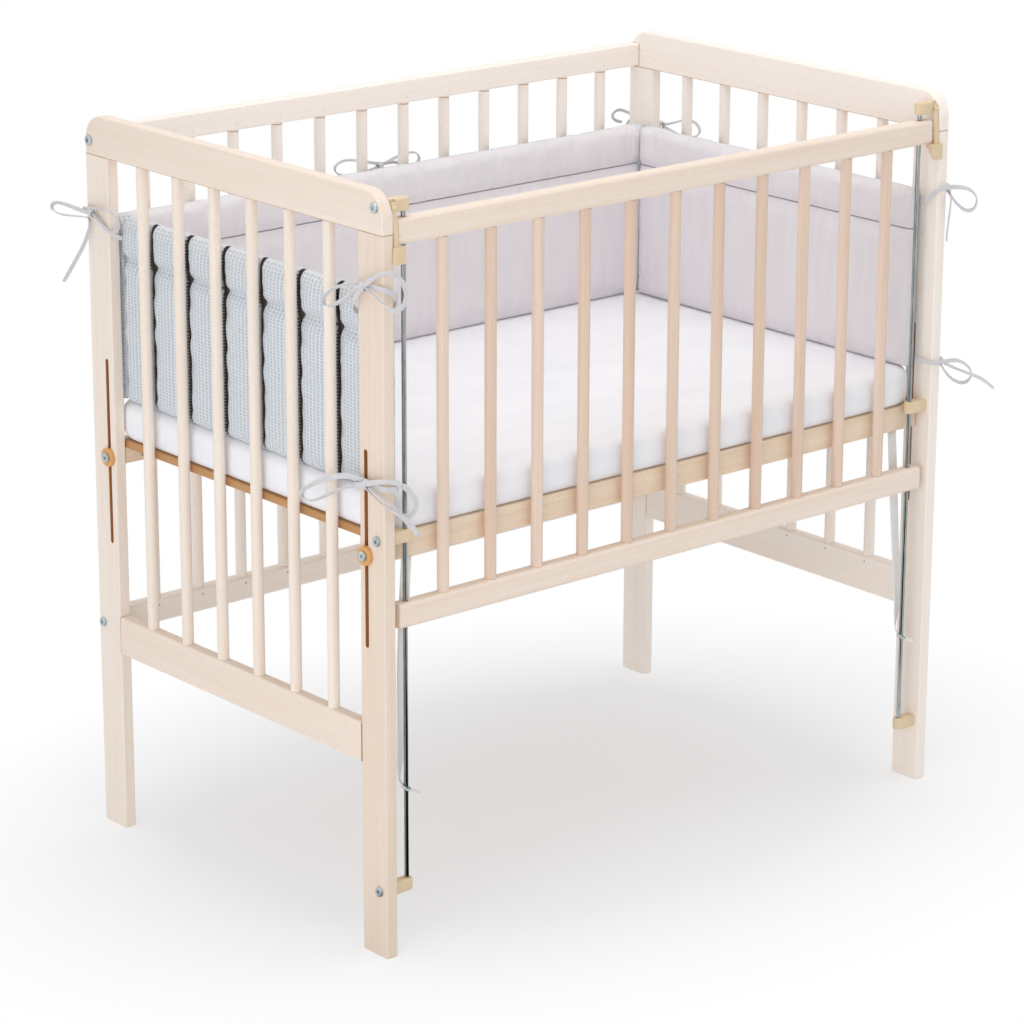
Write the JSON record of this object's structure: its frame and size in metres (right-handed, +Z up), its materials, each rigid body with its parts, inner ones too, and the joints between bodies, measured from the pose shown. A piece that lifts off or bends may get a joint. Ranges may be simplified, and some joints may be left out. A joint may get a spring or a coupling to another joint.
{
  "type": "bedside sleeper crib",
  "caption": "Small wooden crib with a sliding drop side on guide rods, sprung catches, a base that slides in slotted posts, a mattress and a tied padded liner.",
  "frame": {"origin": "on the floor under the middle of the crib's bounding box, ties and straps left out", "axes": "+X to the right end seen from the drop side, +Y from the drop side to the back, +Z up"},
  "size_m": [1.0449, 0.7018, 0.97],
  "materials": {
    "frame_wood": "matt clear lacquer on pale wood",
    "drop_side_wood": "matt clear lacquer on pale wood",
    "slat_wood": "plain unfinished wood",
    "washer_wood": "oiled",
    "bracket_plastic": "matte, slightly translucent",
    "bright_steel": "zinc plated",
    "mattress_foam": "foam in a quilted cover",
    "sheet_cotton": "smooth cotton",
    "liner_muslin": "padded, plain inside and waffle weave outside",
    "tie_tape": "flat cotton tape",
    "webbing": "woven tape"
  },
  "bodies": {
    "frame": {"bracket_bolts": "bright_steel", "left_bottom_bracket": "bracket_plastic", "left_brads": "bright_steel", "left_dowels": "frame_wood", "left_front_post": "frame_wood", "left_guide_rod": "bright_steel", "left_latch_pin": "bright_steel", "left_liner": "liner_muslin", "left_low_rail": "frame_wood", "left_mid_bracket": "bracket_plastic", "left_rear_post": "frame_wood", "left_spindles": "frame_wood", "left_top_bracket": "bracket_plastic", "left_top_rail": "frame_wood", "rear_barrel_nuts": "bright_steel", "rear_bolts": "bright_steel", "rear_brads": "bright_steel", "rear_liner": "liner_muslin", "rear_low_rail": "frame_wood", "rear_spindles": "frame_wood", "rear_top_rail": "frame_wood", "right_bottom_bracket": "bracket_plastic", "right_brads": "bright_steel", "right_dowels": "frame_wood", "right_front_post": "frame_wood", "right_guide_rod": "bright_steel", "right_latch_pin": "bright_steel", "right_liner": "liner_muslin", "right_low_rail": "frame_wood", "right_mid_bracket": "bracket_plastic", "right_rear_post": "frame_wood", "right_spindles": "frame_wood", "right_top_bracket": "bracket_plastic", "right_top_rail": "frame_wood", "tie_front_left_low": "tie_tape", "tie_front_left_top": "tie_tape", "tie_front_right_low": "tie_tape", "tie_front_right_top": "tie_tape", "tie_rear_left": "tie_tape", "tie_rear_middle": "tie_tape", "tie_rear_right": "tie_tape"},
    "drop_side": {"drop_brads": "bright_steel", "drop_low_rail": "drop_side_wood", "drop_spindles": "drop_side_wood", "drop_top_rail": "drop_side_wood"},
    "base": {"base_barrel_nuts": "bright_steel", "base_bolts": "bright_steel", "base_front_rail": "frame_wood", "base_rear_rail": "frame_wood", "base_screws": "bright_steel", "base_slats": "slat_wood", "base_washers": "washer_wood", "mattress": "mattress_foam", "fitted_sheet": "sheet_cotton", "left_strap": "webbing", "right_strap": "webbing"},
    "catch_left": {"left_latch": "bracket_plastic"},
    "catch_right": {"right_latch": "bracket_plastic"}
  },
  "joints": [
    {"name": "drop_side_slide", "type": "slide", "parent": "frame", "child": "drop_side", "axis": [0, 0, 1], "range_m": [-0.328, 0.006]},
    {"name": "base_height", "type": "slide", "parent": "frame", "child": "base", "axis": [0, 0, 1], "range_m": [-0.115, 0.129], "deforming": ["left_liner", "right_liner", "rear_liner", "tie_front_left_low", "tie_front_right_low", "left_strap", "right_strap"]},
    {"name": "catch_left_swing", "type": "hinge", "parent": "frame", "child": "catch_left", "pos_m": [-0.4585, -0.29685, 0.948], "axis": [-1, 0, 0], "range_deg": [0, 12], "stiffness_Nm_per_rad": 0.1},
    {"name": "catch_right_swing", "type": "hinge", "parent": "frame", "child": "catch_right", "pos_m": [0.4585, -0.29685, 0.948], "axis": [-1, 0, 0], "range_deg": [0, 12], "stiffness_Nm_per_rad": 0.1}
  ]
}
